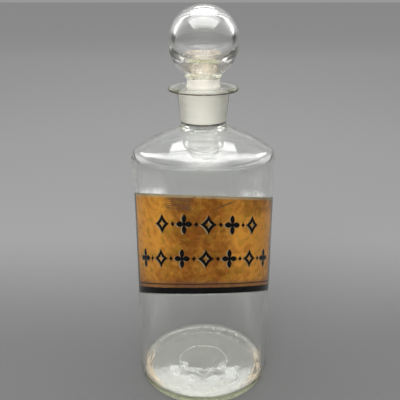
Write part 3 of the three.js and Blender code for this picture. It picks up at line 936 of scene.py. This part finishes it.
def make_bottle():
    """The body as one closed surface. Its inner side is uneven by WALL_WAVE times hand_waves. The
    front of its floor has a trough, about FLOOR_TROUGH exp(-((r - s) / FLOOR_TROUGH_WIDTH)^2) deep,
    along the scalloped line s = PONTIL_RADIUS + PONTIL_SCALLOP cos(n a) with n = PONTIL_LUMPS. It
    fades towards the back as cos(a / 2)^FLOOR_FRONT_FOCUS."""
    gap = angle_of(RECESS_EDGE)
    left = LABEL_LEFT - angle_of(RECESS_CLEARANCE)
    right = LABEL_RIGHT + angle_of(RECESS_CLEARANCE)
    even = np.arange(BODY_COLUMNS) * 360 / BODY_COLUMNS - 180
    angles = np.sort(np.concatenate([even, [left - gap, left + gap, right - gap, right + gap]]))
    inside = (angles > left) & (angles < right)
    turn = np.radians(angles)
    seat, rest = inner_path()
    under, upper, ground, inner = (
        turned(path, len(angles)) for path in (underside_path(), upper_path(), seat, rest[1:])
    )
    wall = wall_rings(angles, inside)
    fade = np.clip((inner[0] - PLUG_RADIUS) / PLUG_RADIUS, 0, 1)
    floor = inner[1] < PUSH_UP + BASE_THICKNESS + 2 * PONTIL_DEPTH
    scallop = PONTIL_RADIUS + PONTIL_SCALLOP * np.cos(PONTIL_LUMPS * turn)
    trough = np.exp(-(((inner[0] - scallop) / FLOOR_TROUGH_WIDTH) ** 2))
    depth = 1 + FLOOR_TROUGH_SWING * np.cos(PONTIL_LUMPS * turn)
    depth = depth + FLOOR_TROUGH_UNEVENNESS * hand_waves(TROUGH_SEED, turn * 2, 0)
    front = np.clip(np.cos(turn / 2), 0, 1) ** FLOOR_FRONT_FOCUS
    ripple = np.clip(inner[0] / PONTIL_RADIUS, 0, 1) * hand_waves(RIPPLE_SEED, turn * 2, inner[0] * 1.5)
    inner[1] = inner[1] - floor * front * (FLOOR_TROUGH * trough * depth + FLOOR_RIPPLE * ripple)
    inner[0] = inner[0] + WALL_WAVE * fade * hand_waves(WALL_SEED, turn, inner[1])
    radius = np.concatenate([under[0], wall[0], upper[0], ground[0], inner[0]])
    height = np.concatenate([under[1], wall[1], upper[1], ground[1], inner[1]])
    plain, frosted, residue, worn, shade_rings = range(5)
    slots = np.full(len(radius) - 1, plain)
    start = len(under[0]) + len(wall[0]) + len(upper[0])
    slots[start : start + len(ground[0]) - 1] = frosted
    slots[len(radius) - FLOOR_RINGS :] = residue
    # The seat's lowest ring, round the plug's end, and the lip's underside take the painted shade line
    slots[start + len(ground[0]) - 2] = shade_rings
    bearing = len(under[0]) - HEEL_RINGS
    # The rings round the bearing ring take the scuffed finish with its painted glow
    slots[bearing - RUBBED_RINGS : bearing + SCUFFED_RINGS] = worn
    lip_edge = len(under[0]) + len(wall[0]) + RINGS_BELOW_LIP_EDGE
    slots[lip_edge : lip_edge + LIP_EDGE_RINGS] = shade_rings
    bottle = lathe("bottle_glass", radius, height, turn, [CLEAR, GROUND, RESIDUE, HEEL_SCUFFS_AND_GLOW, SHADE_LINE], slots)
    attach(bottle, "bottle")
    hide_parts("bottle_body")


# Stopper
def make_stopper():
    """The stopper as one closed surface, whose ball leans by up to BALL_LEAN. The ball's hollow has
    the radius (BALL_RADIUS - BALL_WALL) (1 - HOLLOW_SINK s^2 (3 - 2 s)) in each direction, where s
    goes from 0 at the level of its middle to 1 at FUNNEL_ANGLE below."""
    depth = LIP_TOP - PLUG_END
    end_radius = PLUG_RADIUS - PLUG_TAPER * depth
    bore = end_radius - PLUG_WALL
    bead = COLLAR_THICKNESS / 2
    bead_centre = (PLUG_RADIUS + COLLAR_OVERHANG - bead, LIP_TOP + COLLAR_RISE)
    centre = BALL_TOP - BALL_RADIUS
    cavity = BALL_RADIUS - BALL_WALL
    foot = LIP_TOP + COLLAR_RISE + bead
    foot_radius = math.sqrt(BALL_RADIUS**2 - (centre - foot) ** 2)
    sweep = np.radians(line(90, -90 + FUNNEL_ANGLE, BOWL_RINGS))
    sink = np.clip(-sweep / math.radians(FUNNEL_ANGLE), 0, 1)
    reach = cavity * (1 - HOLLOW_SINK * sink**2 * (3 - 2 * sink))
    bowl = np.stack([reach * np.cos(sweep), centre + reach * np.sin(sweep)], 1)
    funnel_corner = centre - math.sqrt(cavity**2 - bore**2)
    end_flat = end_radius - PLUG_END_ROUND
    hollow = joined(
        bowl,
        bend(bowl[-1], (bore, funnel_corner), (bore, funnel_corner - BALL_THROAT), 12),
        line((bore, funnel_corner - BALL_THROAT), (bore, PLUG_END + PLUG_END_ROUND), 10),
    )
    ground = joined(
        bend((bore, PLUG_END + PLUG_END_ROUND), (bore, PLUG_END), (bore + PLUG_END_ROUND, PLUG_END), 4),
        bend((end_flat, PLUG_END), (end_radius, PLUG_END), (end_radius, PLUG_END + PLUG_END_ROUND), 4),
        line((end_radius, PLUG_END + PLUG_END_ROUND), (PLUG_RADIUS, LIP_TOP), 12),
        line((PLUG_RADIUS, LIP_TOP), (PLUG_RADIUS, LIP_TOP + COLLAR_RISE - bead), 4),
    )
    ball = joined(
        arc(bead_centre, bead, -70, 70, 12),
        arc((0, centre), BALL_RADIUS, -math.degrees(math.acos(foot_radius / BALL_RADIUS)), 90, 60),
    )
    path = joined(hollow, ground, ball)
    turn = np.radians(np.arange(STOPPER_COLUMNS) * 360 / STOPPER_COLUMNS)
    radius, height = turned(path, STOPPER_COLUMNS)
    plain, frosted, dusty = range(3)
    slots = np.full(len(path) - 1, plain)
    slots[BOWL_RINGS : len(hollow) - 1] = dusty
    slots[len(hollow) - 1 : len(hollow) + len(ground) - 2] = frosted
    lean = BALL_LEAN * np.clip((height[:, :1] - foot) / BALL_RADIUS, 0, 1)
    share = np.clip(radius[:WAVY_RINGS] / cavity, 0, 1)
    radius[:WAVY_RINGS] += BALL_WAVE * share * hand_waves(BALL_SEED, turn, height[:WAVY_RINGS])
    stopper = lathe("stopper_glass", radius, height, turn, [BALL_GLASS, GROUND, DUSTY], slots, lean)
    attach(stopper, "stopper")
    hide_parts("stopper")


# Label
def label_layer(name, node, finishes, outer, inner, margin):
    """One whole layer of the label: a curved plate between two radii."""
    inset = angle_of(margin)
    angles, rises = label_grid(
        LABEL_LEFT + inset, LABEL_RIGHT - inset, margin, LABEL_HEIGHT - margin, *LAYER_CELLS
    )
    uv = np.stack([np.radians(angles) * BODY_RADIUS, rises], 2)
    made = plate(name, on_label(angles, rises, outer), on_label(angles, rises, inner), finishes, uv=uv)
    finish_piece(made, node)


def finish_piece(made, node):
    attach(made, "bottle")
    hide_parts(node)


def make_border():
    """The broad band along the bottom and a thin line up each side, its edges a little uneven."""
    left, right = LABEL_LEFT + angle_of(SIDE_LINE_WIDTH), LABEL_RIGHT - angle_of(SIDE_LINE_WIDTH)
    columns = np.concatenate([
        line(LABEL_LEFT, left, SIDE_LINE_COLUMNS), line(left, right, 72)[1:-1],
        line(right, LABEL_RIGHT, SIDE_LINE_COLUMNS),
    ])
    rows = np.concatenate([line(0, BAND_HEIGHT, BAND_ROWS), line(BAND_HEIGHT, LABEL_HEIGHT, 30)[1:]])
    angles, rises = np.meshgrid(columns, rows)
    wander = BAND_WANDER * hand_waves(BAND_SEED, np.radians(angles) * 7, rises * 0)
    rises[BAND_ROWS] += wander[BAND_ROWS]
    cells = np.zeros((len(rows) - 1, len(columns) - 1), bool)
    cells[:BAND_ROWS] = True
    cells[:, :SIDE_LINE_COLUMNS] = True
    cells[:, -SIDE_LINE_COLUMNS:] = True
    border = plate(
        "painted_border", on_label(angles, rises, ENAMEL_OUTER), on_label(angles, rises, ENAMEL_INNER),
        [ENAMEL], cells,
    )
    finish_piece(border, "enamel_border")


def make_rule():
    """The fine line above the band, a little uneven."""
    inset = angle_of(2 * SIDE_LINE_WIDTH)
    low = BAND_HEIGHT + RULE_RISE
    angles, rises = label_grid(
        LABEL_LEFT + inset, LABEL_RIGHT - inset, low, low + RULE_WIDTH, *RULE_CELLS
    )
    rises = rises + RULE_WANDER * hand_waves(RULE_SEED, np.radians(angles) * 9, rises * 0)
    rule = plate(
        "painted_rule", on_label(angles, rises, ENAMEL_OUTER), on_label(angles, rises, ENAMEL_INNER),
        [THIN_ENAMEL],
    )
    finish_piece(rule, "enamel_rule")


def lozenge_outline():
    """Quarter by quarter, a curve from tip to tip that is drawn in towards the middle."""
    tips = np.array([(1, 0), (0, 1), (-1, 0), (0, -1), (1, 0)], float)
    return np.concatenate([
        bend(tips[k], (tips[k] + tips[k + 1]) * LOZENGE_WAIST, tips[k + 1], 12)[:-1] for k in range(4)
    ])


def flower_outline():
    """Four petals, each from its pinched foot out to its tip and back."""
    pinch, shoulder = PETAL_PINCH, (PETAL_SHOULDER, PETAL_WIDTH)
    petal = np.concatenate([
        bend((pinch, -pinch), (shoulder[0], -shoulder[1]), (1, 0), 12)[:-1],
        bend((1, 0), shoulder, (pinch, pinch), 12)[:-1],
    ])
    turns = np.radians(np.arange(4) * 90)
    return np.concatenate([
        petal @ np.array([[math.cos(t), math.sin(t)], [-math.sin(t), math.cos(t)]]) for t in turns
    ])


def reach_of(outline, turn):
    """How far an outline reaches from its middle in each direction."""
    around = np.arctan2(outline[:, 1], outline[:, 0])
    return np.interp(turn, around, np.hypot(outline[:, 0], outline[:, 1]), period=2 * math.pi)


def filled(outline):
    """Grid of points over a shape: the square |u|, |v| <= 1 turned into the diamond |x| + |y| <= 1,
    then stretched in each direction until the diamond's edge is the shape's outline."""
    u, v = np.meshgrid(np.linspace(-1, 1, 25), np.linspace(-1, 1, 25))
    x, y = (u - v) / 2, (u + v) / 2
    turn = np.arctan2(y, x)
    stretch = reach_of(outline, turn) * (np.abs(np.cos(turn)) + np.abs(np.sin(turn)))
    return np.stack([x * stretch, y * stretch], 2)


def hollowed(outline, opening):
    """Grid of points between a shape's outline and the same outline made smaller."""
    share = np.linspace(opening, 1, 5)[:, None, None]
    return outline[None] * share


def painted(name, shape, size, angle, rise, radii, finish, wrap):
    """A flat grid of points, -1 to 1 each way, wrapped round the label at an angle and a rise."""
    angles = angle + np.degrees(shape[..., 0] * size[0] / 2 / ENAMEL_OUTER)
    rises = rise + shape[..., 1] * size[1] / 2
    outer, inner = (on_label(angles, rises, radius, ENAMEL_OUTER) for radius in radii)
    return plate(name, outer, inner, [finish], wrap=wrap)


def make_row(row, count, middle, rise, flower_first):
    """Lozenges and flowers in turn, each with its pale shading, and a bead between each two."""
    black = (ENAMEL_OUTER, ENAMEL_INNER)
    pale = (LEAF_OUTER + SHADE_LIFT + SHADE_THICKNESS, LEAF_OUTER + SHADE_LIFT)
    across, up = SHADE_OFFSET
    for k in range(count):
        angle = middle + (k - (count - 1) / 2) * MOTIF_PITCH
        blossom = (k % 2 == 0) == flower_first
        kind = "flower" if blossom else "lozenge"
        shape = filled(flower_outline()) if blossom else hollowed(lozenge_outline(), LOZENGE_OPENING)
        node = f"{row}_{kind}_{k + 1}"
        size = (MOTIF_WIDTH, MOTIF_HEIGHT)
        made = painted(f"painted_{node}", shape, size, angle, rise, black, ENAMEL, not blossom)
        finish_piece(made, node)
        moved = (angle + angle_of(across), rise + up)
        shade = painted(f"shading_{node}", shape, size, *moved, pale, SHADE, not blossom)
        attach(shade, "bottle")
        if k > 0:
            node = f"{row}_bead_{k}"
            bead, size = filled(lozenge_outline()), (BEAD_WIDTH, BEAD_HEIGHT)
            between = angle - MOTIF_PITCH / 2
            made = painted(f"painted_{node}", bead, size, between, rise, black, ENAMEL, False)
            finish_piece(made, node)


make_bottle()
make_stopper()
label_layer("cement_bed", "label_cement", [CEMENT], CEMENT_OUTER, CEMENT_INNER, 0)
label_layer("leaf", "gold_leaf", [LEAF], LEAF_OUTER, LEAF_INNER, LEAF_MARGIN)
make_border()
make_rule()
make_row(*UPPER_ROW)
make_row(*LOWER_ROW)
label_layer("cover_glass", "label_glass", [COVER, BONDED], BODY_RADIUS, LABEL_GLASS_INNER, 0)


# Stage
def make_floor():
    """One flat sheet with painted shade: darker in front of the bottle than behind it, and paler far
    off as painted light that evens out the lamps. It also gets darker to the sides, where
    |x| / (y + WEDGE_POINT) is over WEDGE_EDGE, outside the camera's view."""
    finish = Finish("floor")
    across, away, _ = finish.parts(finish.place())
    # Painted shade in front and to the sides, painted light far off
    near = finish.mix(away.step(0.0, FLOOR_BACK_FROM), grey(FLOOR_FRONT), grey(FLOOR_BACK))
    middle = finish.mix(away.step(FLOOR_FAR_START, FLOOR_FAR_FROM), near, grey(FLOOR_FAR))
    beside = abs(across) / (away.at_least(WEDGE_FRONT) + WEDGE_POINT)
    colour = finish.mix(beside.step(WEDGE_EDGE, WEDGE_FADED), middle, grey(FLOOR_BESIDE))
    surface = finish.node("BsdfDiffuse", {}, {"Color": colour})
    half = FLOOR_SIZE / 2
    corners = [(-half, -half, 0), (half, -half, 0), (half, half, 0), (-half, half, 0)]
    floor = add_object("floor", corners, [(0, 1, 2, 3)], [finish.done(surface)])


def make_lamp(name, place, aim, size, power):
    """Soft lamp for light and shadow only. What the glass mirrors is the world."""
    data = bpy.data.lights.new(name, "AREA")
    data.shape = "RECTANGLE"
    data.size, data.size_y = size
    data.energy = power
    lamp = bpy.data.objects.new(name, data)
    lamp.location = place
    lamp.rotation_euler = Vector(aim).to_track_quat("-Z", "Y").to_euler()
    lamp.visible_camera = False
    lamp.visible_glossy = False
    lamp.visible_transmission = False
    bpy.context.scene.collection.objects.link(lamp)


def make_world():
    """A grey room, darker in front and far aside. For glass it also has a pale dome, a window at each
    side and four white panels overhead. u = |x| / z and v = y / z are a direction's slopes from the
    zenith. The middle panel and the wings sweep back, because they lie between two values of
    v - SWEEP u^2, and the middle panel has a dark bar. The other two panels lie between values of v."""
    world = bpy.data.worlds.new("room")
    world.cycles.sampling_method = "NONE"
    bpy.context.scene.world = world
    finish = Finish("room", world)
    across, away, up = finish.parts(finish.node("TexCoord", {}, {}, "Generated"))
    aside = abs(across)
    steep = up.at_least(0.02)
    u = aside / steep
    v = away / steep
    swept = v - u * u * SWEEP

    def panel(slope, half_width, near, far, soft, level):
        wide = u.step(half_width - soft, half_width + soft, 1, 0)
        return wide * slope.step(near - soft, near + soft) * slope.step(far - soft, far + soft, 1, 0) * level

    near, far, soft, darkness = BAR
    gap = 1 - swept.step(near - soft, near + soft) * swept.step(far - soft, far + soft, 1, 0) * darkness
    overhead = (panel(swept, *MIDDLE_PANEL) * gap).at_least(panel(swept, *WING_PANEL))
    panels = overhead + panel(v, *FRONT_PANEL) + panel(v, *REAR_PANEL)
    above = up.step(0.02, 0.05)
    dome = (up + aside * 0.6).step(0.45, 0.85) * away.step(-0.35, 0.1) * up.step(0.12, 0.35)
    room = away.step(-0.6, 0.3, ROOM_IN_FRONT, ROOM)
    room = room + up.step(0.02, 0.15) * away.step(0, 0.4) * ROOM_HIGHER
    room = room * aside.step(0.35, 0.6, 1, ROOM_ASIDE)
    windows = aside.step(0.4, 0.65) * away.step(0.2, 0.45) * up.step(0.10, 0.2) * up.step(0.5, 0.7, 1, 0)
    mirrored = room + windows * WINDOW + (panels * above * PANEL + dome * above * DOME)
    rays = finish.node("LightPath", {}, {}).socket.node.outputs
    camera = Signal(finish, rays["Is Camera Ray"])
    diffuse = Signal(finish, rays["Is Diffuse Ray"])
    level = mirrored * (1 - camera) * (1 - diffuse) + camera * ROOM + diffuse * AMBIENT
    colour = finish.node("CombineColor", {}, {"Red": level, "Green": level, "Blue": level})
    finish.done(finish.node("Background", {}, {"Color": colour}), kind="World")


make_floor()
make_world()
make_lamp("overhead", *OVERHEAD_LAMP)
make_lamp("front_fill", *FRONT_LAMP)
scene = bpy.context.scene
scene.view_settings.view_transform = "Standard"
scene.cycles.max_bounces = BOUNCES
scene.cycles.transmission_bounces = BOUNCES
scene.cycles.glossy_bounces = BOUNCES
